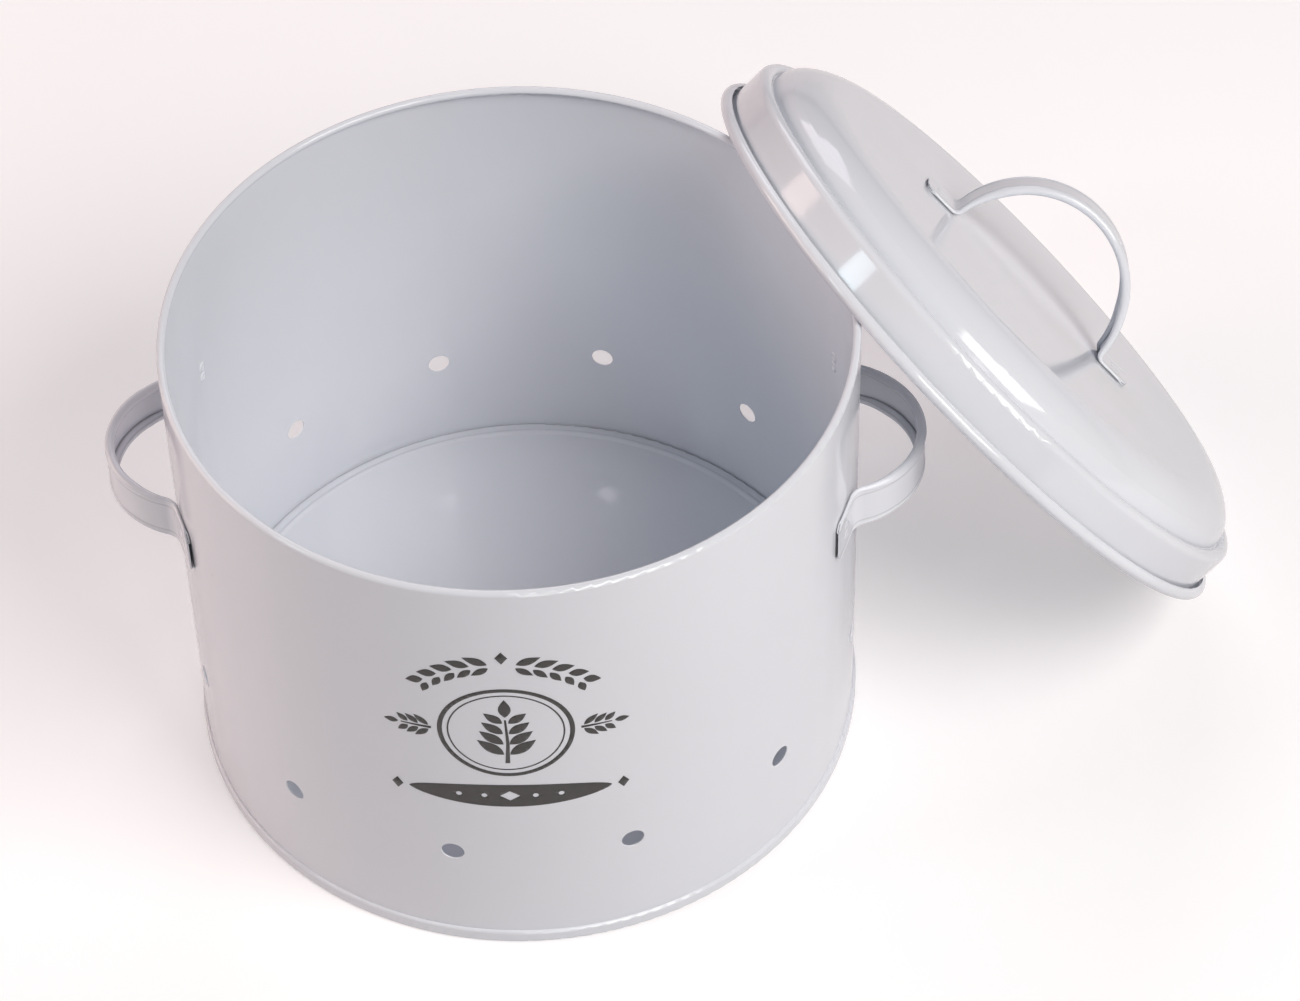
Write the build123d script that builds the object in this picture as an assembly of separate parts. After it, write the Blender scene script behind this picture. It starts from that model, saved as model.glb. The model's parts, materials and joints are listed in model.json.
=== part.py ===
from build123d import *
import math
import os

# Round sheet-metal storage bin with two side loops and a lift-off lid, in millimetres.
# The origin is the centre of the bin's underside, +Z is up, the side handles lie along X.
# The lid leans beside the bin: its rim stands on the floor and rests on the bin's rim.

# ---- bin ----
BIN_RADIUS = 130.0
BIN_HEIGHT = 204.2
BIN_SHEET = 0.6
RIM_BEAD_RADIUS = 1.6
RIM_BEAD_TURN = 285.0
BASE_PANEL_TOP = 11.0
BASE_CORNER_RADIUS = 1.5
BASE_RING_RADIUS = 124.2
BASE_RING_HEIGHT = 0.6
BASE_RING_BEND = 1.5
SEAM_BOTTOM = BIN_SHEET
SEAM_HOOK_TOP = 4.8
SEAM_CORNER_RADIUS = 0.4
HOLE_COUNT_EACH_WAY = 6
HOLE_RADIUS = 4.5
HOLE_HEIGHT = 53.6
HOLE_PITCH = 30.25
HOLE_START = 13.2
HOLE_PATTERN_AZIMUTH = 2.8

# ---- strap handles: a web between two edges rolled inward, with the rolls pressed flat at the feet ----
STRAP_WIDTH = 20.4
STRAP_SHEET = 0.6
ROLL_RADIUS = 1.9
ROLL_PROUD = 0.35
ROLL_FLAT = 0.2
PRESSED_RADIUS = 0.72
PRESSED_PROUD = 0.06
PRESSED_FLAT = 2.2
ROLL_CLEARANCE = 0.05
TAPER_TURN = 24.0
ROLL_AT_BEND = 0.3
ARCH_STATIONS = 5
BEND_STATIONS = 7
FOOT_CORNER_RADIUS = 5.0
FOOT_GAP = 0.05

SIDE_HANDLE_HEIGHT = 137.0
SIDE_ARCH_RADIUS = 33.5
SIDE_ARCH_CENTRE = 122.2
SIDE_BEND_RADIUS = 7.0
SIDE_FOOT_AZIMUTH = 19.0
SIDE_FOOT_END = 9.5
SIDE_WELD_AT = 0.6

LID_ARCH_RADIUS = 41.0
LID_ARCH_CENTRE = 0.0
LID_BEND_RADIUS = 2.0
LID_FOOT_END = 56.2
LID_WELD_AT = 49.5
LID_HANDLE_TURN = 47.5

WELD_RADIUS = 2.0
WELD_SPACING = 5.2
WELD_PROUD = 0.25

# ---- lid, heights measured from the centre plane of the curl round its edge ----
LID_SHEET = 0.6
LID_SKIRT_RADIUS = 132.9
LID_CURL_RADIUS = 1.85
LID_CURL_TURN = 280.0
LID_RIDGE_RADIUS = 3.2
LID_RIDGE_HEIGHT = 15.4
LID_CREASE_RADIUS = 0.3
LID_PANEL_EDGE_RADIUS = 12.0
LID_PANEL_EDGE_HEIGHT = 16.4
LID_PANEL_RADIUS = 126.7
LID_TOP_RADIUS = 104.7
LID_TOP_HEIGHT = 32.4

# ---- where the lid leans ----
LEAN_TILT = 52.25
LEAN_AZIMUTH = 24.7
LEAN_DISTANCE = 194.0

CUT_MARGIN = 5.0
SAME_POINT = 1e-6


def degrees_between(start, end):
    return math.degrees(math.atan2(end[1] - start[1], end[0] - start[0]))


def arc_end(arc, at_end):
    """First or last point of an arc given as centre x, centre y, radius, start and end angle."""
    x, y, radius, start, end = arc
    angle = math.radians(end if at_end else start)
    return (x + radius * math.cos(angle), y + radius * math.sin(angle))


def sheet_section(start, arcs, thickness):
    """Face of a sheet seen edge on: tangent arcs joined by straight runs, thickened to the right.

    A negative thickness lays the sheet to the left of the direction of travel."""
    first = arc_end(arcs[0], False)
    run = math.dist(start, first)
    side = (thickness * (first[1] - start[1]) / run, -thickness * (first[0] - start[0]) / run)
    far_start = (start[0] + side[0], start[1] + side[1])
    far_arcs = []
    for x, y, radius, a0, a1 in arcs:
        turn = 1 if a1 > a0 else -1
        far_arcs.append((x, y, radius + thickness * turn, a0, a1))
    edges = []
    for begin, chain in ((start, arcs), (far_start, far_arcs)):
        at = begin
        for arc in chain:
            if math.dist(at, arc_end(arc, False)) > SAME_POINT:
                edges.append(Line(at, arc_end(arc, False)))
            edges.append(CenterArc(arc[:2], arc[2], arc[3], arc[4] - arc[3]))
            at = arc_end(arc, True)
    edges.append(Line(start, far_start))
    edges.append(Line(arc_end(arcs[-1], True), arc_end(far_arcs[-1], True)))
    return make_face(edges)


def revolved(section):
    return revolve(Plane.XZ * section, Axis.Z)


def radial_pin(azimuth, height, near, far, radius):
    """Round pin that points out from the bin's axis, from radius near to radius far."""
    pin = Cylinder(radius, far - near, align=(Align.CENTER, Align.CENTER, Align.MIN))
    return Rot(0, 0, azimuth) * Pos(near, 0, height) * Rot(0, 90, 0) * pin


def vent_hole_azimuths():
    for step in range(HOLE_COUNT_EACH_WAY):
        offset = HOLE_START + step * HOLE_PITCH
        yield HOLE_PATTERN_AZIMUTH + offset
        yield HOLE_PATTERN_AZIMUTH - offset


def bin_wall(weld_pins):
    """Rolled wall with the rim curled inward and the bottom folded into the base seam."""
    bead_centre = (BIN_RADIUS - RIM_BEAD_RADIUS, BIN_HEIGHT - RIM_BEAD_RADIUS)
    curl = [(*bead_centre, RIM_BEAD_RADIUS, 0, RIM_BEAD_TURN)]
    hook_middle = (SEAM_BOTTOM + SEAM_HOOK_TOP) / 2
    hook = RectangleRounded(2 * BIN_SHEET, SEAM_HOOK_TOP - SEAM_BOTTOM, SEAM_CORNER_RADIUS)
    section = sheet_section((BIN_RADIUS, hook_middle), curl, -BIN_SHEET)
    section += Pos(BIN_RADIUS, hook_middle) * hook
    wall = revolved(section)
    for azimuth in vent_hole_azimuths():
        near, far = BIN_RADIUS - CUT_MARGIN, BIN_RADIUS + CUT_MARGIN
        wall -= radial_pin(azimuth, HOLE_HEIGHT, near, far, HOLE_RADIUS)
    return wall - weld_pins


def bin_base():
    """Recessed base panel whose edge wraps round the wall's bottom hook as a double seam."""
    bend = BASE_RING_BEND
    half_turn = math.degrees(math.acos(1 - BASE_RING_HEIGHT / (2 * bend)))
    half_width = 2 * bend * math.sin(math.radians(half_turn))
    corner = BIN_RADIUS - BIN_SHEET - BASE_CORNER_RADIUS
    fold = BIN_SHEET - SEAM_CORNER_RADIUS
    arcs = [
        (BASE_RING_RADIUS - half_width, BASE_PANEL_TOP + bend, bend, -90, -90 + half_turn),
        (BASE_RING_RADIUS, BASE_PANEL_TOP + BASE_RING_HEIGHT - bend, bend, 90 + half_turn, 90 - half_turn),
        (BASE_RING_RADIUS + half_width, BASE_PANEL_TOP + bend, bend, -90 - half_turn, -90),
        (corner, BASE_PANEL_TOP - BASE_CORNER_RADIUS, BASE_CORNER_RADIUS, 90, 0),
        (BIN_RADIUS - fold, SEAM_BOTTOM + SEAM_CORNER_RADIUS, SEAM_CORNER_RADIUS, 180, 270),
        (BIN_RADIUS + fold, SEAM_BOTTOM + SEAM_CORNER_RADIUS, SEAM_CORNER_RADIUS, 270, 360),
        (BIN_RADIUS, SEAM_HOOK_TOP, BIN_SHEET, 0, 90),
    ]
    return revolved(sheet_section((0, BASE_PANEL_TOP), arcs, BIN_SHEET))


def crease_centre():
    """Centre and angles of the small valley arc between the lid's ridge and its raised panel."""
    ridge = (LID_SKIRT_RADIUS - LID_RIDGE_RADIUS, LID_RIDGE_HEIGHT)
    panel = (LID_PANEL_RADIUS - LID_PANEL_EDGE_RADIUS, LID_PANEL_EDGE_HEIGHT)
    reach_ridge = LID_RIDGE_RADIUS + LID_CREASE_RADIUS
    reach_panel = LID_PANEL_EDGE_RADIUS + LID_CREASE_RADIUS
    span = math.dist(ridge, panel)
    along = (reach_panel**2 - reach_ridge**2 + span**2) / (2 * span)
    across = math.sqrt(reach_panel**2 - along**2)
    ux = (ridge[0] - panel[0]) / span
    uy = (ridge[1] - panel[1]) / span
    centre = (panel[0] + along * ux - across * uy, panel[1] + along * uy + across * ux)
    return centre, degrees_between(centre, panel), degrees_between(centre, ridge)


def lid_shell(weld_pins):
    """Pressed lid in its own frame: skirt with an outward curl, ridge, crease and raised panel."""
    run = LID_PANEL_RADIUS - LID_TOP_RADIUS
    rise = LID_TOP_HEIGHT - LID_PANEL_EDGE_HEIGHT
    edge = LID_PANEL_EDGE_RADIUS
    shoulder = ((run - edge) ** 2 + rise**2 - edge**2) / (2 * (rise - edge))
    shoulder_centre = (LID_TOP_RADIUS, LID_TOP_HEIGHT - shoulder)
    panel_centre = (LID_PANEL_RADIUS - edge, LID_PANEL_EDGE_HEIGHT)
    ridge_centre = (LID_SKIRT_RADIUS - LID_RIDGE_RADIUS, LID_RIDGE_HEIGHT)
    join = degrees_between(shoulder_centre, panel_centre)
    valley, to_panel, to_ridge = crease_centre()
    arcs = [
        (*shoulder_centre, shoulder, 90, join),
        (*panel_centre, edge, join, to_panel + 180),
        (*valley, LID_CREASE_RADIUS, to_panel, to_ridge),
        (*ridge_centre, LID_RIDGE_RADIUS, to_ridge + 180, 0),
        (LID_SKIRT_RADIUS + LID_CURL_RADIUS, 0, LID_CURL_RADIUS, 180, 180 + LID_CURL_TURN),
    ]
    return revolved(sheet_section((0, LID_TOP_HEIGHT), arcs, LID_SHEET)) - weld_pins


class StrapPath:
    """Line of a strap's outer face: an arch, a reverse bend and a straight foot at each end.

    It lies in the XY plane with the arch's top towards +X. The foot's outer face lies face_distance
    from the origin along the direction foot_angle, and foot_end is how far the foot reaches."""

    def __init__(self, arch_centre, arch_radius, bend_radius, foot_angle, face_distance, foot_end):
        self.arch_centre = arch_centre
        self.arch_radius = arch_radius
        self.bend_radius = bend_radius
        self.foot_angle = foot_angle
        self.foot_end = foot_end
        angle = math.radians(foot_angle)
        self.out = Vector(math.cos(angle), math.sin(angle))
        self.along = Vector(-math.sin(angle), math.cos(angle))
        self.face_distance = face_distance
        rise = face_distance + bend_radius - arch_centre * self.out.X
        reach = math.sqrt((arch_radius + bend_radius) ** 2 - rise**2)
        self.foot_start = reach + arch_centre * self.along.X
        self.arch_end = foot_angle + math.degrees(math.atan2(reach, rise))
        self.bend_centre = self.out * (face_distance + bend_radius) + self.along * self.foot_start

    def arch_station(self, angle):
        direction = Vector(math.cos(math.radians(angle)), math.sin(math.radians(angle)))
        return Vector(self.arch_centre, 0) + direction * self.arch_radius, direction

    def bend_station(self, angle):
        direction = Vector(math.cos(math.radians(angle)), math.sin(math.radians(angle)))
        return self.bend_centre - direction * self.bend_radius, direction

    def foot_point(self, reach, depth=0.0):
        return self.out * (self.face_distance - depth) + self.along * reach


def strap_section(point, outward, roll):
    """Cross-section of the strap at one station: a web between two edges rolled inward.

    roll runs from 0, where the edges are pressed flat, to 1, where they are round."""
    radius = PRESSED_RADIUS + roll * (ROLL_RADIUS - PRESSED_RADIUS)
    proud = PRESSED_PROUD + roll * (ROLL_PROUD - PRESSED_PROUD)
    flat = PRESSED_FLAT + roll * (ROLL_FLAT - PRESSED_FLAT)
    inner = radius - STRAP_SHEET
    shoulder = STRAP_WIDTH / 2 - radius
    face_reach = shoulder - math.sqrt(radius**2 - (radius - proud) ** 2)
    back_reach = shoulder - math.sqrt(inner**2 - (inner - proud) ** 2)
    back = -proud - STRAP_SHEET
    tip = math.asin((inner - proud - ROLL_CLEARANCE) / radius)
    half = math.sqrt(0.5)
    outline = [Line((-face_reach, -proud), (face_reach, -proud)), Line((-back_reach, back), (back_reach, back))]
    for side in (1, -1):
        ends = []
        for size, root in ((radius, (face_reach, -proud)), (inner, (back_reach, back))):
            turn = (shoulder + size, -radius)
            low = (shoulder, -radius - size)
            curl_start = (shoulder - flat, -radius - size)
            curl_middle = (shoulder - flat - size * half, -radius - size * half)
            curl_end = (shoulder - flat - size * math.cos(tip), -radius + size * math.sin(tip))
            root, turn, low, curl_start, curl_middle, curl_end = [
                (side * x, y) for x, y in (root, turn, low, curl_start, curl_middle, curl_end)
            ]
            outline += [
                ThreePointArc(root, turn, low),
                Line(low, curl_start),
                ThreePointArc(curl_start, curl_middle, curl_end),
            ]
            ends.append(curl_end)
        outline.append(Line(*ends))
    tangent = Vector(-outward.Y, outward.X)
    return Plane(point, x_dir=(0, 0, 1), z_dir=tangent) * make_face(outline)


def half_strap(path):
    """The strap from the top of its arch to the end of the foot on the +Y side."""
    top = strap_section(*path.arch_station(0), 1)
    taper_start = path.arch_end - TAPER_TURN
    arch = revolve(top, Axis((path.arch_centre, 0, 0), (0, 0, 1)), taper_start)

    arch_sections = []
    for step in range(ARCH_STATIONS):
        share = step / (ARCH_STATIONS - 1)
        station = path.arch_station(taper_start + share * TAPER_TURN)
        arch_sections.append(strap_section(*station, 1 + share * (ROLL_AT_BEND - 1)))
    bend_sections = [arch_sections[-1]]
    for step in range(1, BEND_STATIONS):
        share = step / (BEND_STATIONS - 1)
        station = path.bend_station(path.arch_end + share * (path.foot_angle - path.arch_end))
        bend_sections.append(strap_section(*station, ROLL_AT_BEND * (1 - share)))

    foot_root = strap_section(path.foot_point(path.foot_start), path.out, 0)
    foot = extrude(foot_root, path.foot_end - path.foot_start)
    corner_frame = Plane(path.foot_point(path.foot_end), x_dir=path.along, z_dir=path.out)
    corner = FOOT_CORNER_RADIUS
    rounded = Pos(-2 * corner, 0) * RectangleRounded(4 * corner, STRAP_WIDTH, corner)
    waste = Pos(-corner / 2, 0) * Rectangle(corner, STRAP_WIDTH) - rounded
    foot -= corner_frame * extrude(waste, CUT_MARGIN, both=True)
    return arch + loft(arch_sections) + loft(bend_sections) + foot


def strap(path, weld_pins):
    half = half_strap(path)
    whole = half + mirror(half, Plane.XZ)
    return whole - weld_pins


def weld_pins(path, reach, depth):
    """Spot welds of both feet: two round nuggets each, through the strap's web and the sheet below."""
    pins = []
    for side in (1, -1):
        for step in (-0.5, 0.5):
            base = path.foot_point(reach, depth)
            frame = Plane(base, x_dir=(0, 0, 1), z_dir=path.out)
            length = depth - STRAP_SHEET / 2
            pin = frame * Pos(step * WELD_SPACING, 0) * extrude(Circle(WELD_RADIUS), length)
            pins.append(pin if side > 0 else mirror(pin, Plane.XZ))
    return pins


side_foot_face = BIN_RADIUS + FOOT_GAP + 2 * PRESSED_RADIUS
side_path = StrapPath(
    SIDE_ARCH_CENTRE, SIDE_ARCH_RADIUS, SIDE_BEND_RADIUS, SIDE_FOOT_AZIMUTH, side_foot_face, SIDE_FOOT_END
)
lid_foot_face = FOOT_GAP + 2 * PRESSED_RADIUS
lid_path = StrapPath(LID_ARCH_CENTRE, LID_ARCH_RADIUS, LID_BEND_RADIUS, 0, lid_foot_face, LID_FOOT_END)

side_weld_depth = FOOT_GAP + 2 * PRESSED_RADIUS + BIN_SHEET + WELD_PROUD
lid_weld_depth = lid_foot_face + LID_SHEET + WELD_PROUD
right_pins = weld_pins(side_path, SIDE_WELD_AT, side_weld_depth)
lid_pins = weld_pins(lid_path, LID_WELD_AT, lid_weld_depth)

right_place = Pos(0, 0, SIDE_HANDLE_HEIGHT)
left_place = Rot(0, 0, 180) * right_place
lid_handle_place = Plane(
    (0, 0, LID_TOP_HEIGHT),
    x_dir=(0, 0, 1),
    z_dir=(math.sin(math.radians(LID_HANDLE_TURN)), -math.cos(math.radians(LID_HANDLE_TURN)), 0),
)

lean = math.radians(LEAN_AZIMUTH)
tilt = math.radians(LEAN_TILT)
curl_centre_radius = LID_SKIRT_RADIUS + LID_CURL_RADIUS
curl_outer_radius = LID_CURL_RADIUS + LID_SHEET
lid_height = curl_centre_radius * math.sin(tilt) + curl_outer_radius
lid_place = Plane(
    (LEAN_DISTANCE * math.cos(lean), LEAN_DISTANCE * math.sin(lean), lid_height),
    x_dir=(-math.sin(lean), math.cos(lean), 0),
    z_dir=(math.sin(tilt) * math.cos(lean), math.sin(tilt) * math.sin(lean), math.cos(tilt)),
)

bin_pins = [place * pin for place in (right_place, left_place) for pin in right_pins]
lid_welds = [lid_handle_place * pin for pin in lid_pins]
handle = strap(side_path, right_pins)
nodes = {
    "bin_wall": bin_wall(bin_pins),
    "bin_base": bin_base(),
    "right_side_handle": right_place * handle,
    "left_side_handle": left_place * handle,
    "right_handle_welds": Compound(children=[right_place * pin for pin in right_pins]),
    "left_handle_welds": Compound(children=[left_place * pin for pin in right_pins]),
    "lid_shell": lid_place * lid_shell(lid_welds),
    "lid_handle": lid_place * lid_handle_place * strap(lid_path, lid_pins),
    "lid_handle_welds": Compound(children=[lid_place * pin for pin in lid_welds]),
}

os.makedirs("parts", exist_ok=True)
for name, shape in nodes.items():
    export_step(shape, f"parts/{name}.step")
    print(name, len(shape.solids()), round(shape.volume, 1), shape.bounding_box())
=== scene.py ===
import json
import math

import bmesh
import bpy
from mathutils import Matrix, Quaternion, Vector

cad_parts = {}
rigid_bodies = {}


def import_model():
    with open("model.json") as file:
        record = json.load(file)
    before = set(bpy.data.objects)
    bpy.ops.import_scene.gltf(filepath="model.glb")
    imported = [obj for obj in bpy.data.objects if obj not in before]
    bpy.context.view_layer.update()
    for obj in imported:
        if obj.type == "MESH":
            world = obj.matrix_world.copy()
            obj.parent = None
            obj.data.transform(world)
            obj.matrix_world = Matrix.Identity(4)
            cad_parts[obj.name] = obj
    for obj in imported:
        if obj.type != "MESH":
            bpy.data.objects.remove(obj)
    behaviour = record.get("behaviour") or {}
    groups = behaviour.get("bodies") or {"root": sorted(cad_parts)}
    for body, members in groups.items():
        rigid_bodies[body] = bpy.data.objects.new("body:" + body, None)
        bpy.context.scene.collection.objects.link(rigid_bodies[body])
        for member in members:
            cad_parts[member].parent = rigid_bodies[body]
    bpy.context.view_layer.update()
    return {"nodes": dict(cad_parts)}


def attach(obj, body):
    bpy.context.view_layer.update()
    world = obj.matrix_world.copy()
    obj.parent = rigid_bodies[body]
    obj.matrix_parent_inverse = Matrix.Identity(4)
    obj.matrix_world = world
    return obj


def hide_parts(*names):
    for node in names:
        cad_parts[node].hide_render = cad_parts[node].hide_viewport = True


# Storage bin and its leaning lid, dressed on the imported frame.
# The scene is in metres with +Z up and the bin's axis through the origin. Angles here are in
# degrees, and lengths in millimetres except in the sections marked as metres.

MM = 0.001

# ---- camera (metres; its lens and sensor in millimetres) ----
CAMERA_PLACE = (0.06818, -1.11471, 1.36328)
CAMERA_TARGET = (0.05026, 0.00546, 0.1)
CAMERA_ROLL = -1.563
CAMERA_LENS = 120.78
CAMERA_SENSOR = 36.0
CAMERA_REACH = 50

# ---- light (metres): name, azimuth, elevation, distance, width, height, power, colour ----
LIGHT_TARGET = (0.06, 0.02, 0.1)
LIGHTS = [
    ("key", -40, 47, 1.9, 1.15, 1.0, 29.0, (1.0, 0.96, 0.925)),
    ("back_fill", 85, 33, 1.9, 0.9, 0.9, 6.3, (0.95, 0.9, 1.0)),
    ("left_fill", 171, 23, 1.9, 1.3, 0.9, 16.5, (1.0, 0.76, 0.7)),
    ("front_strip", -78, 35, 1.8, 0.22, 0.8, 1.6, (1.0, 0.98, 0.98)),
    ("left_window", -160, 41, 1.8, 0.28, 0.34, 2.8, (0.75, 0.93, 1.0)),
]
WORLD_COLOUR = (0.80, 0.90, 1.0)
WORLD_STRENGTH = 0.02
WORLD_MIRRORED = 0.4
BACKDROP_STRENGTH = 1.0

# ---- floor (metres) ----
FLOOR_SIZE = 14.0
FLOOR_CELLS = 8
FLOOR_DROP = 0.0003
FLOOR_COLOUR = (0.82, 0.80, 0.81, 1)
FLOOR_CLOUD_SCALE = 3
FLOOR_CLOUD_SHADE = 0.99
FLOOR_LIFT = 0.32
FLOOR_MIRRORED = 0.6

# ---- bin wall and its vent holes ----
WALL_RADIUS = 130.0
WALL_SHEET = 0.6
HOLE_RADIUS = 4.5
HOLE_HEIGHT = 53.6
HOLE_PITCH = 30.25
HOLE_START = 13.2
HOLES_EACH_WAY = 6
HOLE_CENTRE_AZIMUTH = 2.8

# Section of a hole's lip: how far it lies outside the hole's edge and outside the wall's face.
LIP_STEPS = 56
LIP_PROFILE = [
    (0.42, -0.05),
    (0.30, 0.06),
    (0.08, 0.06),
    (-0.10, -0.08),
    (-0.14, -0.30),
    (-0.10, -0.52),
    (0.08, -0.66),
    (0.30, -0.66),
    (0.42, -0.55),
]

# ---- straps and their spot welds ----
WELD_SPACING = 5.2
WELD_STEPS = 28

# Section of a weld mark, from its middle out: radius, and height above the face it lies on.
WELD_FRONT = [
    (0, 0.03),
    (0.9, 0.05),
    (1.4, 0.16),
    (1.8, 0.15),
    (2.2, 0.04),
    (2.35, -0.15),
    (0, -0.2),
]
WELD_BACK = [
    (0, 0.06),
    (0.9, 0.1),
    (1.4, 0.5),
    (1.8, 0.45),
    (2.3, 0.1),
    (2.5, -0.15),
    (0, -0.3),
]
SIDE_HANDLE_HEIGHT = 137.0
SIDE_FOOT_AZIMUTH = 19.0
SIDE_WELD_AT = 0.6
FOOT_FACE = 1.43
LID_WELD_AT = 49.5
LID_HANDLE_TURN = 47.5
LID_TOP_HEIGHT = 32.4
LID_SHEET = 0.6
LID_PLACE = (176.251, 81.066, 108.995)
LEAN_AZIMUTH = 24.7
LEAN_TILT = 52.25

# ---- paint (metres; a scale is the number of cells in a metre, a shade a share of the colour) ----
COAT_COLOUR = (0.805, 0.83, 0.885, 1)
COAT_IOR = 1.5
CLOUD_SCALE = 14
CLOUD_SHADE = 0.985
SHEEN_SCALE = 45
SHEEN_LOW = 0.85
SHEEN_HIGH = 1.2
DENT_SCALE = 22
DENT_HEIGHT = 0.0006
PEEL_SCALE = 750
PEEL_HEIGHT = 0.00003
PEEL_STRENGTH = 0.18
DUST_SCALE = 90
DUST_RADIUS = 0.00028
DUST_SHARE = 0.05
DUST_SHADE = 0.55
# Painted shade: ambient occlusion darkens the coat's colour in crevices, joints and grooves.
CREVICE_SAMPLES = 8
CREVICE_REACH = 0.0022
CREVICE_FULL = 0.25
CREVICE_NONE = 0.8
# Painted shade along the lines where a strap's web meets its rolled edges: place, width, darkness.
CREASE_AT = 0.0071
CREASE_REACH = 0.0008
PAINTED_CREASE_SHADE = 0.72

# Each coat's roughness, strength of its dents and painted shade in its crevices.
BIN_FINISH = (0.1, 0.35, 0.95)
LID_FINISH = (0.09, 0.25, 0.8)
HANDLE_FINISH = (0.1, 0.1, 0.5)

# ---- print on the front (x runs round the wall from the print's middle, z up from the floor) ----
PRINT_AZIMUTH = -90.9
PRINT_LIFT = 0.03
PRINT_FILM = 0.03
PRINT_STRIP = 2.0
PRINT_MERGE = 1e-5
PRINT_CUT = 1e-6
RING_HEIGHT = 127.0
RING_RADII = (25.2, 23.4, 21.6, 21.0)
RING_STEPS = 96
GARLAND_RADIUS = 42
BAR_HEIGHT = 90
INK_COLOUR = (0.032, 0.031, 0.030, 1)
INK_BODY_SCALE = 300
INK_BODY_SHADE = 1.35
INK_GRAIN_SCALE = 1400
INK_GRAIN_HEIGHT = 0.00002
INK_GRAIN_STRENGTH = 0.4
INK_SMOOTHEST = 0.32
INK_ROUGHEST = 0.44


def link(obj):
    bpy.context.scene.collection.objects.link(obj)
    return obj


def piece(name, mesh, body, material):
    """A finished object of its own that rides on a body and wears the material it is given."""
    obj = link(bpy.data.objects.new(name, mesh))
    mesh.materials.clear()
    mesh.materials.append(material)
    for polygon in mesh.polygons:
        polygon.use_smooth = True
    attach(obj, body)
    return obj


def direction(azimuth, elevation):
    a = math.radians(azimuth)
    e = math.radians(elevation)
    return Vector((math.cos(e) * math.cos(a), math.cos(e) * math.sin(a), math.sin(e)))


def circle(radius, steps):
    turns = [2 * math.pi * step / steps for step in range(steps)]
    return [(radius * math.cos(turn), radius * math.sin(turn)) for turn in turns]


# ---------------------------------------------------------------- materials


def add_node(tree, kind, **settings):
    node = tree.nodes.new(kind)
    for name, value in settings.items():
        setattr(node, name, value)
    return node


def new_material(name):
    material = bpy.data.materials.new(name)
    material.use_nodes = True
    tree = material.node_tree
    tree.nodes.clear()
    output = add_node(tree, "ShaderNodeOutputMaterial")
    return material, tree, output


def noise(tree, coordinates, scale, detail, roughness=0.5):
    node = add_node(tree, "ShaderNodeTexNoise")
    node.inputs["Scale"].default_value = scale
    node.inputs["Detail"].default_value = detail
    node.inputs["Roughness"].default_value = roughness
    tree.links.new(coordinates, node.inputs["Vector"])
    return node.outputs["Fac"]


def map_range(tree, value, low, high, from_low=0.3, from_high=0.7):
    """Value spread over a new range; the default old range is where a noise mostly lies."""
    node = add_node(tree, "ShaderNodeMapRange")
    node.inputs["From Min"].default_value = from_low
    node.inputs["From Max"].default_value = from_high
    node.inputs["To Min"].default_value = low
    node.inputs["To Max"].default_value = high
    tree.links.new(value, node.inputs["Value"])
    return node.outputs["Result"]


def mix_colour(tree, factor, first, second):
    node = add_node(tree, "ShaderNodeMix", data_type="RGBA")
    tree.links.new(factor, node.inputs["Factor"])
    colours = [socket for socket in node.inputs if socket.type == "RGBA"]
    for socket, value in zip(colours, (first, second)):
        if isinstance(value, tuple):
            socket.default_value = value
        else:
            tree.links.new(value, socket)
    return next(socket for socket in node.outputs if socket.type == "RGBA")


def math_node(tree, operation, first, second):
    node = add_node(tree, "ShaderNodeMath", operation=operation)
    for socket, value in zip(node.inputs, (first, second)):
        if isinstance(value, (int, float)):
            socket.default_value = value
        else:
            tree.links.new(value, socket)
    return node.outputs[0]


def mix_shaders(tree, factor, first, second):
    node = add_node(tree, "ShaderNodeMixShader")
    tree.links.new(factor, node.inputs["Fac"])
    tree.links.new(first, node.inputs[1])
    tree.links.new(second, node.inputs[2])
    return node.outputs["Shader"]


def background(tree, colour, strength):
    node = add_node(tree, "ShaderNodeBackground")
    node.inputs["Color"].default_value = colour
    node.inputs["Strength"].default_value = strength
    return node.outputs["Background"]


def bump(tree, height, distance, strength, below=None):
    node = add_node(tree, "ShaderNodeBump")
    node.inputs["Distance"].default_value = distance
    node.inputs["Strength"].default_value = strength
    tree.links.new(height, node.inputs["Height"])
    if below is not None:
        tree.links.new(below, node.inputs["Normal"])
    return node.outputs["Normal"]


def scaled(colour, factor):
    return (colour[0] * factor, colour[1] * factor, colour[2] * factor, 1)


def seen_directly(tree, mirrored_share):
    """1 for rays from the camera, a share for mirrored or transmitted ones and 0 for the rest."""
    path = add_node(tree, "ShaderNodeLightPath").outputs
    mirrored = math_node(tree, "MAXIMUM", path["Is Glossy Ray"], path["Is Transmission Ray"])
    share = math_node(tree, "MULTIPLY", mirrored, mirrored_share)
    return math_node(tree, "MAXIMUM", path["Is Camera Ray"], share)


def specks(tree, coordinates, cells, radius, share):
    """Mask of tiny round specks: the given share of the cells holds one."""
    cell = add_node(tree, "ShaderNodeTexVoronoi")
    cell.inputs["Scale"].default_value = cells
    tree.links.new(coordinates, cell.inputs["Vector"])
    near = math_node(tree, "LESS_THAN", cell.outputs["Distance"], radius * cells)
    channels = add_node(tree, "ShaderNodeSeparateColor")
    tree.links.new(cell.outputs["Color"], channels.inputs["Color"])
    chosen = math_node(tree, "LESS_THAN", channels.outputs["Red"], share)
    return math_node(tree, "MULTIPLY", near, chosen)


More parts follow.
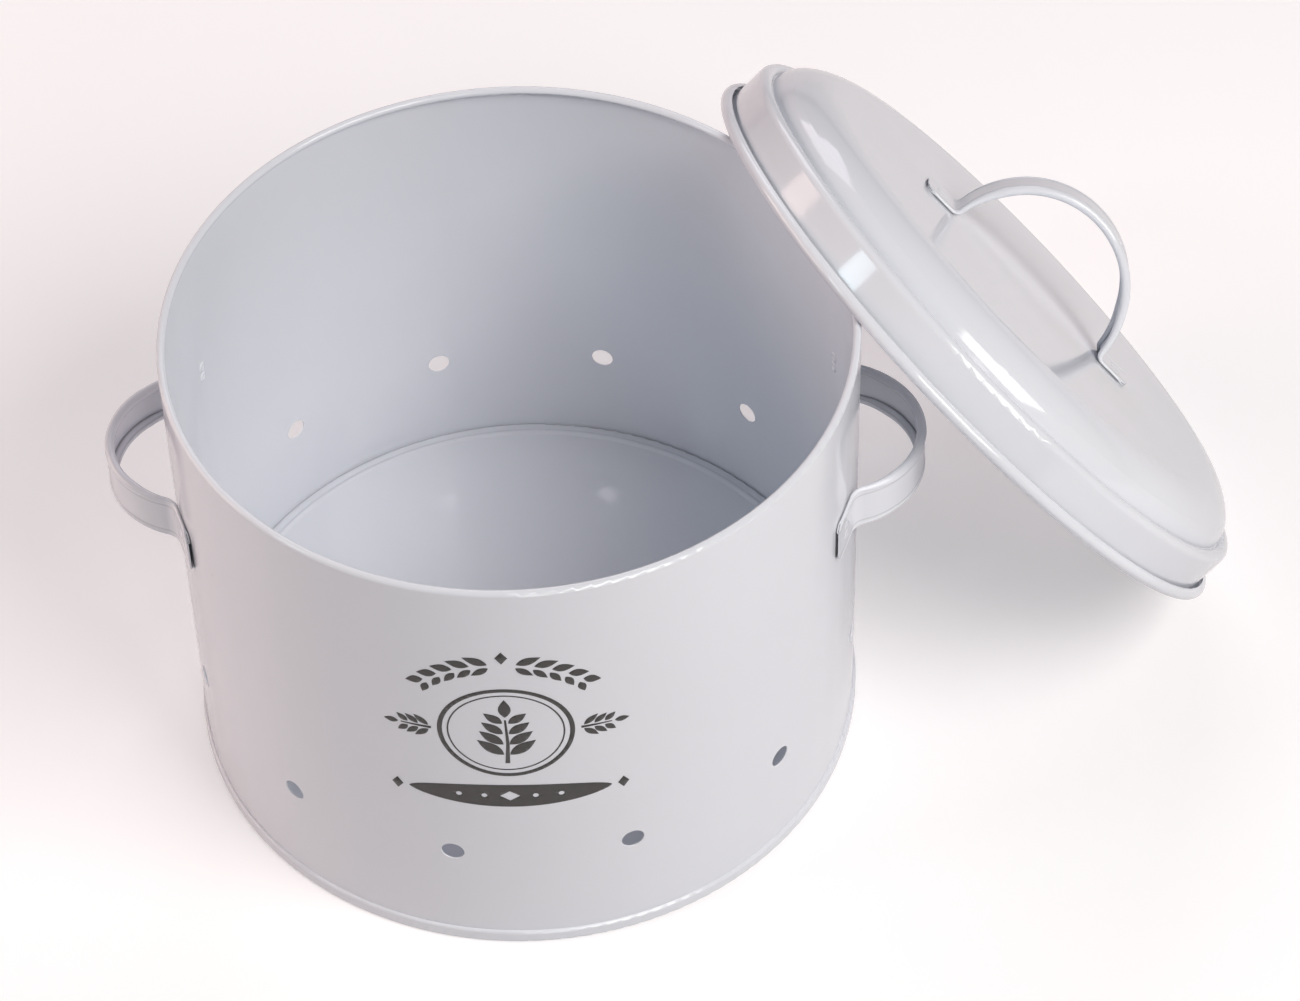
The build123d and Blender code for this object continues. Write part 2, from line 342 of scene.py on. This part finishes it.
def painted_crease_mask(tree, coordinates, middle, across):
    """Painted shade: 1 along the middle of both lines where a strap's web meets its rolled edges, 0
    off them.
    """
    offset = add_node(tree, "ShaderNodeVectorMath", operation="SUBTRACT")
    tree.links.new(coordinates, offset.inputs[0])
    offset.inputs[1].default_value = middle * MM
    side = add_node(tree, "ShaderNodeVectorMath", operation="DOT_PRODUCT")
    tree.links.new(offset.outputs["Vector"], side.inputs[0])
    side.inputs[1].default_value = across
    away = math_node(tree, "ABSOLUTE", side.outputs["Value"], 0)
    away = math_node(tree, "ABSOLUTE", math_node(tree, "SUBTRACT", away, CREASE_AT), 0)
    return map_range(tree, away, 1, 0, 0, CREASE_REACH)


def coat_material(name, finish, strap=None):
    """Glossy baked coat: faint clouds, dust specks, slow dents, orange peel, painted crevice shade.

    A strap's middle and cross direction, where given, paint shade along the lines of its rolled
    edges.
    """
    roughness, waviness, painted_crevice_shade = finish
    material, tree, output = new_material(name)
    shader = add_node(tree, "ShaderNodeBsdfPrincipled")
    place = add_node(tree, "ShaderNodeTexCoord").outputs["Object"]
    cloud = map_range(tree, noise(tree, place, CLOUD_SCALE, 3), 0, 1)
    tint = mix_colour(tree, cloud, scaled(COAT_COLOUR, CLOUD_SHADE), COAT_COLOUR)
    # Painted shade: the colour darkens where ambient occlusion finds a crevice.
    crevice = add_node(tree, "ShaderNodeAmbientOcclusion", samples=CREVICE_SAMPLES)
    crevice.inputs["Distance"].default_value = CREVICE_REACH
    openness = map_range(tree, crevice.outputs["AO"], 0, 1, CREVICE_FULL, CREVICE_NONE)
    tint = mix_colour(tree, openness, scaled(COAT_COLOUR, painted_crevice_shade), tint)
    # Painted shade along the lines of a strap's rolled edges.
    if strap is not None:
        line = math_node(tree, "POWER", painted_crease_mask(tree, place, *strap), 2)
        tint = mix_colour(tree, line, tint, scaled(COAT_COLOUR, PAINTED_CREASE_SHADE))
    dust = specks(tree, place, DUST_SCALE, DUST_RADIUS, DUST_SHARE)
    tint = mix_colour(tree, dust, tint, scaled(COAT_COLOUR, DUST_SHADE))
    tree.links.new(tint, shader.inputs["Base Color"])
    sheen = noise(tree, place, SHEEN_SCALE, 4, 0.6)
    sheen = map_range(tree, sheen, roughness * SHEEN_LOW, roughness * SHEEN_HIGH)
    tree.links.new(sheen, shader.inputs["Roughness"])
    dents = bump(tree, noise(tree, place, DENT_SCALE, 1), DENT_HEIGHT, waviness)
    peel = bump(tree, noise(tree, place, PEEL_SCALE, 2), PEEL_HEIGHT, PEEL_STRENGTH, dents)
    tree.links.new(peel, shader.inputs["Normal"])
    shader.inputs["IOR"].default_value = COAT_IOR
    tree.links.new(shader.outputs["BSDF"], output.inputs["Surface"])
    return material


def ink_material():
    """Anthracite screen print: satin ink, here a little thinner and there a little thicker."""
    material, tree, output = new_material("print_ink")
    shader = add_node(tree, "ShaderNodeBsdfPrincipled")
    place = add_node(tree, "ShaderNodeTexCoord").outputs["Object"]
    body = map_range(tree, noise(tree, place, INK_BODY_SCALE, 4, 0.6), 0, 1)
    tint = mix_colour(tree, body, INK_COLOUR, scaled(INK_COLOUR, INK_BODY_SHADE))
    tree.links.new(tint, shader.inputs["Base Color"])
    grain = noise(tree, place, INK_GRAIN_SCALE, 3)
    satin = map_range(tree, grain, INK_SMOOTHEST, INK_ROUGHEST)
    tree.links.new(satin, shader.inputs["Roughness"])
    relief = bump(tree, grain, INK_GRAIN_HEIGHT, INK_GRAIN_STRENGTH)
    tree.links.new(relief, shader.inputs["Normal"])
    tree.links.new(shader.outputs["BSDF"], output.inputs["Surface"])
    return material


def floor_material():
    """Pale floor that shows its shadows, lifted towards white for the camera and in mirrors."""
    material, tree, output = new_material("studio_floor")
    place = add_node(tree, "ShaderNodeTexCoord").outputs["Object"]
    cloud = map_range(tree, noise(tree, place, FLOOR_CLOUD_SCALE, 2), 0, 1)
    diffuse = add_node(tree, "ShaderNodeBsdfDiffuse")
    tint = mix_colour(tree, cloud, FLOOR_COLOUR, scaled(FLOOR_COLOUR, FLOOR_CLOUD_SHADE))
    tree.links.new(tint, diffuse.inputs["Color"])
    plain = diffuse.outputs["BSDF"]
    glow = add_node(tree, "ShaderNodeEmission")
    glow.inputs["Strength"].default_value = FLOOR_LIFT
    lifted = add_node(tree, "ShaderNodeAddShader")
    tree.links.new(plain, lifted.inputs[0])
    tree.links.new(glow.outputs["Emission"], lifted.inputs[1])
    lift_share = seen_directly(tree, FLOOR_MIRRORED)
    surface = mix_shaders(tree, lift_share, plain, lifted.outputs["Shader"])
    tree.links.new(surface, output.inputs["Surface"])
    return material


# ---------------------------------------------------------------- studio


def aimed(place, target, roll=0.0):
    """Matrix of a camera or lamp that looks from a place at a target."""
    look = (target - place).to_track_quat("-Z", "Y")
    look = look @ Quaternion((0, 0, 1), math.radians(roll))
    return Matrix.Translation(place) @ look.to_matrix().to_4x4()


def make_camera():
    data = bpy.data.cameras.new("camera")
    data.sensor_fit = "HORIZONTAL"
    data.sensor_width = CAMERA_SENSOR
    data.lens = CAMERA_LENS
    data.clip_end = CAMERA_REACH
    camera = link(bpy.data.objects.new("camera", data))
    camera.matrix_world = aimed(Vector(CAMERA_PLACE), Vector(CAMERA_TARGET), CAMERA_ROLL)
    bpy.context.scene.camera = camera


def make_lights():
    target = Vector(LIGHT_TARGET)
    for name, azimuth, elevation, distance, width, height, power, colour in LIGHTS:
        data = bpy.data.lights.new(name, "AREA")
        data.shape = "RECTANGLE"
        data.size = width
        data.size_y = height
        data.energy = power
        data.color = colour
        lamp = link(bpy.data.objects.new(name, data))
        lamp.matrix_world = aimed(target + direction(azimuth, elevation) * distance, target)


def make_world():
    """Dim ambient light, with a white backdrop for the camera and, in part, in mirrors."""
    world = bpy.data.worlds.new("studio")
    bpy.context.scene.world = world
    world.use_nodes = True
    tree = world.node_tree
    tree.nodes.clear()
    output = add_node(tree, "ShaderNodeOutputWorld")
    ambient = background(tree, (*WORLD_COLOUR, 1), WORLD_STRENGTH)
    backdrop = background(tree, (1, 1, 1, 1), BACKDROP_STRENGTH)
    surface = mix_shaders(tree, seen_directly(tree, WORLD_MIRRORED), ambient, backdrop)
    tree.links.new(surface, output.inputs["Surface"])


def make_floor():
    mesh = bpy.data.meshes.new("studio_floor")
    work = bmesh.new()
    cells = {"x_segments": FLOOR_CELLS, "y_segments": FLOOR_CELLS}
    bmesh.ops.create_grid(work, size=FLOOR_SIZE / 2, **cells)
    work.to_mesh(mesh)
    work.free()
    mesh.materials.append(floor_material())
    floor = link(bpy.data.objects.new("studio_floor", mesh))
    floor.location.z = -FLOOR_DROP


# ---------------------------------------------------------------- pieces


def on_wall(x, z, radius, azimuth=0.0):
    """Point of a cylinder round the bin's axis: x millimetres round from an azimuth, z up."""
    angle = math.radians(azimuth) + x / WALL_RADIUS
    return Vector((radius * math.cos(angle), radius * math.sin(angle), z)) * MM


def join_loops(work, loops, closed):
    """Faces between rings of points that follow each other; closed joins the last to the first."""
    rings = [[work.verts.new(point) for point in loop] for loop in loops]
    count = len(rings[0])
    pairs = list(zip(rings, rings[1:]))
    if closed:
        pairs.append((rings[-1], rings[0]))
    for near, far in pairs:
        for i in range(count):
            work.faces.new((near[i], near[(i + 1) % count], far[(i + 1) % count], far[i]))
    return rings


def finish_mesh(work, name):
    bmesh.ops.recalc_face_normals(work, faces=work.faces)
    mesh = bpy.data.meshes.new(name)
    work.to_mesh(mesh)
    work.free()
    return mesh


def hole_azimuths():
    """Azimuths of the holes, in pairs that go both ways round from the pattern's centre."""
    for step in range(HOLES_EACH_WAY):
        offset = HOLE_START + step * HOLE_PITCH
        yield HOLE_CENTRE_AZIMUTH + offset
        yield HOLE_CENTRE_AZIMUTH - offset


def vent_hole_lips():
    """Coat drawn round the punched edges: a soft rounded ring in each vent hole."""
    work = bmesh.new()
    for azimuth in hole_azimuths():
        loops = []
        for widen, proud in LIP_PROFILE:
            ring = circle(HOLE_RADIUS + widen, LIP_STEPS)
            radius = WALL_RADIUS + proud
            loops.append([on_wall(x, HOLE_HEIGHT + z, radius, azimuth) for x, z in ring])
        join_loops(work, loops, True)
    return finish_mesh(work, "vent_hole_lips")


def nugget(work, place, outward, profile):
    """Small turned button on a face. The profile's first and last points lie on its axis."""
    turn = outward.to_track_quat("Z", "Y").to_matrix().to_4x4()
    here = Matrix.Translation(place * MM) @ turn @ Matrix.Scale(MM, 4)
    top = work.verts.new(here @ Vector((0, 0, profile[0][1])))
    bottom = work.verts.new(here @ Vector((0, 0, profile[-1][1])))
    loops = []
    for radius, height in profile[1:-1]:
        ring = circle(radius, WELD_STEPS)
        loops.append([here @ Vector((x, y, height)) for x, y in ring])
    rings = join_loops(work, loops, False)
    for i in range(WELD_STEPS):
        after = (i + 1) % WELD_STEPS
        work.faces.new((top, rings[0][i], rings[0][after]))
        work.faces.new((bottom, rings[-1][after], rings[-1][i]))


def weld_marks(name, origin, out, along, across, reach, face, back):
    """Spot-weld marks of a strap: two on the face of each foot and two behind the sheet.

    out and along give a foot's outward and lengthwise directions for side 1 and -1. A foot's marks
    lie reach along it, face and back out from the origin.
    """
    work = bmesh.new()
    for side in (1, -1):
        foot_out, foot_along = out(side), along(side)
        for step in (-0.5, 0.5):
            spot = origin + foot_along * reach + across * step * WELD_SPACING
            nugget(work, spot + foot_out * face, foot_out, WELD_FRONT)
            nugget(work, spot + foot_out * back, -foot_out, WELD_BACK)
    return finish_mesh(work, name)


def leaf(x, z, length, width, turn, steps=14):
    """Closed outline of a pointed leaf whose stalk end is at x, z."""
    a = math.radians(turn)
    outline = []
    for side in (1, -1):
        for step in range(steps):
            t = step / steps if side > 0 else 1 - step / steps
            across = side * width / 2 * math.sin(math.pi * t**0.85)
            along = length * t
            leaf_x = x + along * math.cos(a) - across * math.sin(a)
            leaf_z = z + along * math.sin(a) + across * math.cos(a)
            outline.append((leaf_x, leaf_z))
    return outline


def disc(x, z, radius, steps=20):
    return [(x + dx, z + dz) for dx, dz in circle(radius, steps)]


def lozenge(x, z, width, height):
    return [(x + width / 2, z), (x, z + height / 2), (x - width / 2, z), (x, z - height / 2)]


def lens(x, z, width, height, steps=40):
    """Closed outline of a long bar that narrows to a point at both ends."""
    outline = []
    for step in range(2 * steps):
        turn = math.pi * step / steps
        across = math.copysign(abs(math.sin(turn)) ** 1.3, math.sin(turn))
        outline.append((x + width / 2 * math.cos(turn), z + height / 2 * across))
    return outline


def ribbon(points, widths):
    """Closed outline of a stroke along points, with its own width at each."""
    left = []
    right = []
    for i, (point, width) in enumerate(zip(points, widths)):
        before = points[max(i - 1, 0)]
        after = points[min(i + 1, len(points) - 1)]
        run = math.dist(before, after)
        nx = -(after[1] - before[1]) / run * width / 2
        nz = (after[0] - before[0]) / run * width / 2
        left.append((point[0] + nx, point[1] + nz))
        right.append((point[0] - nx, point[1] - nz))
    return left + right[::-1]


def leaf_pair(x, z, length, width, stalk_turn, spread, gap=1.1):
    """Two leaves that leave a stalk at one station, one to each side, a gap from its middle."""
    a = math.radians(stalk_turn + 90)
    pair = []
    for side in (1, -1):
        base = (x + side * gap * math.cos(a), z + side * gap * math.sin(a))
        pair.append(leaf(*base, length, width, stalk_turn + side * spread))
    return pair


def sprig():
    """Upright sprig inside the rings: a stalk, four pairs of leaves and a leaf on top."""
    z = RING_HEIGHT
    outlines = [ribbon([(0, z - 17.5), (0.5, z - 6), (0, z + 7.5)], (1.7, 1.2, 0.7))]
    for step in range(4):
        length = 12.6 - 1.3 * step
        width = 4.9 - 0.3 * step
        outlines += leaf_pair(0, z - 12.5 + 6.0 * step, length, width, 90, 50)
    return outlines + [leaf(0, z + 9, 10, 4.6, 90)]


def spray(side):
    """Level spray beside the rings: a stalk, three pairs of leaves and a leaf at its end."""
    z = RING_HEIGHT
    heading = 90 - side * 90
    outlines = [ribbon([(side * 27.5, z), (side * 39, z)], (1.3, 0.6))]
    for step in range(3):
        x = side * (28.5 + 3.9 * step)
        outlines += leaf_pair(x, z, 7.2 - 0.9 * step, 2.7, heading, 42)
    return outlines + [leaf(side * 40, z, 5.6, 2.9, heading)]


def garland(side):
    """One half of the leafy arc over the rings: five leaves outside it and five inside."""
    outlines = []
    for step in range(5):
        angle = 90 - side * (7 + 9.2 * step)
        x = GARLAND_RADIUS * math.cos(math.radians(angle))
        z = RING_HEIGHT - 3 + GARLAND_RADIUS * math.sin(math.radians(angle))
        size = 9.6 - 0.7 * step
        outlines.append(leaf(x, z, size, 3.9, angle - side * 62))
        outlines.append(leaf(x * 0.955, z * 0.985 + 0.6, size * 0.8, 3.1, angle - side * 118))
    return outlines


def dotted_bar():
    """Long bar with four dots and a lozenge left open in it."""
    dots = [disc(step * 9.5, BAR_HEIGHT, 1.1) for step in (-2, -1, 1, 2)]
    return [lens(0, BAR_HEIGHT, 76, 13), *dots, lozenge(0, BAR_HEIGHT, 7.5, 5.5)]


def print_outlines():
    """Plain kitchen ornament; an outline inside another one is left open."""
    outlines = [disc(0, RING_HEIGHT, radius, RING_STEPS) for radius in RING_RADII] + sprig()
    for side in (1, -1):
        outlines += spray(side) + garland(side)
        outlines.append(lozenge(side * 42.5, BAR_HEIGHT, 4.4, 6.4))
    outlines.append(lozenge(0, RING_HEIGHT + 42.5, 4.6, 6.6))
    return outlines + dotted_bar()


def print_mesh():
    """Thin film of ink on the wall: the outlines are filled flat, cut in strips and wrapped."""
    curve = bpy.data.curves.new("front_print", "CURVE")
    curve.dimensions = "2D"
    curve.fill_mode = "BOTH"
    for outline in print_outlines():
        spline = curve.splines.new("POLY")
        spline.points.add(len(outline) - 1)
        for point, (x, z) in zip(spline.points, outline):
            point.co = (x, z, 0, 1)
        spline.use_cyclic_u = True
    flat = link(bpy.data.objects.new("front_print_flat", curve))
    mesh = bpy.data.meshes.new_from_object(flat)
    bpy.data.objects.remove(flat)
    work = bmesh.new()
    work.from_mesh(mesh)
    bmesh.ops.remove_doubles(work, verts=work.verts, dist=PRINT_MERGE)
    lowest = min(v.co.x for v in work.verts)
    highest = max(v.co.x for v in work.verts)
    for i in range(1, int((highest - lowest) / PRINT_STRIP) + 1):
        plane = {"plane_co": (lowest + i * PRINT_STRIP, 0, 0), "plane_no": (1, 0, 0)}
        everything = work.verts[:] + work.edges[:] + work.faces[:]
        bmesh.ops.bisect_plane(work, geom=everything, dist=PRINT_CUT, **plane)
    radius = WALL_RADIUS + PRINT_LIFT
    for vertex in work.verts:
        vertex.co = on_wall(vertex.co.x, vertex.co.y, radius, PRINT_AZIMUTH)
    shell = bmesh.ops.extrude_face_region(work, geom=work.faces[:])
    raised = [v for v in shell["geom"] if isinstance(v, bmesh.types.BMVert)]
    for vertex in raised:
        outward = Vector((vertex.co.x, vertex.co.y, 0)).normalized()
        vertex.co += outward * PRINT_FILM * MM
    return finish_mesh(work, "front_print")


def side_weld_marks(name, turn):
    """Marks of a side handle; turn is 0 for the right one and 180 for the left."""

    def out(side):
        return direction(turn + side * SIDE_FOOT_AZIMUTH, 0)

    def along(side):
        return direction(turn + side * (SIDE_FOOT_AZIMUTH + 90), 0)

    middle = Vector((0, 0, SIDE_HANDLE_HEIGHT))
    face = WALL_RADIUS + FOOT_FACE
    back = WALL_RADIUS - WALL_SHEET
    return weld_marks(name, middle, out, along, Vector((0, 0, 1)), SIDE_WELD_AT, face, back)


def lid_handle_frame():
    """Middle of the lid's top, and the directions up, to a foot and across the strap."""
    up = direction(LEAN_AZIMUTH, 90 - LEAN_TILT)
    level = direction(LEAN_AZIMUTH + 90, 0)
    slope = up.cross(level)
    turn = math.radians(LID_HANDLE_TURN)
    foot = -(level * math.cos(turn) + slope * math.sin(turn))
    across = level * math.sin(turn) - slope * math.cos(turn)
    return Vector(LID_PLACE) + up * LID_TOP_HEIGHT, up, foot, across


def lid_weld_marks(name):
    top, up, foot, across = lid_handle_frame()

    def out(side):
        return up

    def along(side):
        return foot * side

    return weld_marks(name, top, out, along, across, LID_WELD_AT, FOOT_FACE, -LID_SHEET)


# ---------------------------------------------------------------- build

for leftover in list(bpy.data.objects):
    bpy.data.objects.remove(leftover)

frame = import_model()
nodes = frame["nodes"]

scene = bpy.context.scene
scene.view_settings.view_transform = "Standard"

side_strap = (Vector((0, 0, SIDE_HANDLE_HEIGHT)), Vector((0, 0, 1)))
lid_top, _, _, lid_across = lid_handle_frame()
bin_coat = coat_material("bin_coat", BIN_FINISH)
lid_coat = coat_material("lid_coat", LID_FINISH)
handle_coat = coat_material("handle_coat", HANDLE_FINISH, side_strap)
lid_handle_coat = coat_material("lid_handle_coat", HANDLE_FINISH, (lid_top, lid_across))
coats = {"bin_coat": bin_coat, "lid_coat": lid_coat, "handle_coat": handle_coat}
for node in nodes.values():
    finish = node.data.materials[0].name.split(".")[0]
    node.data.materials[0] = coats[finish]
nodes["lid_handle"].data.materials[0] = lid_handle_coat

piece("vent_hole_lips", vent_hole_lips(), "bin", bin_coat)
piece("front_print", print_mesh(), "bin", ink_material())
for side, turn in (("right", 0), ("left", 180)):
    name = side + "_weld_marks"
    marks = piece(name, side_weld_marks(name, turn), "bin", handle_coat)
    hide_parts(side + "_handle_welds")
lid_marks_mesh = lid_weld_marks("lid_weld_marks")
marks = piece("lid_weld_marks", lid_marks_mesh, "lid", lid_handle_coat)
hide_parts("lid_handle_welds")

make_floor()
make_world()
make_lights()
make_camera()
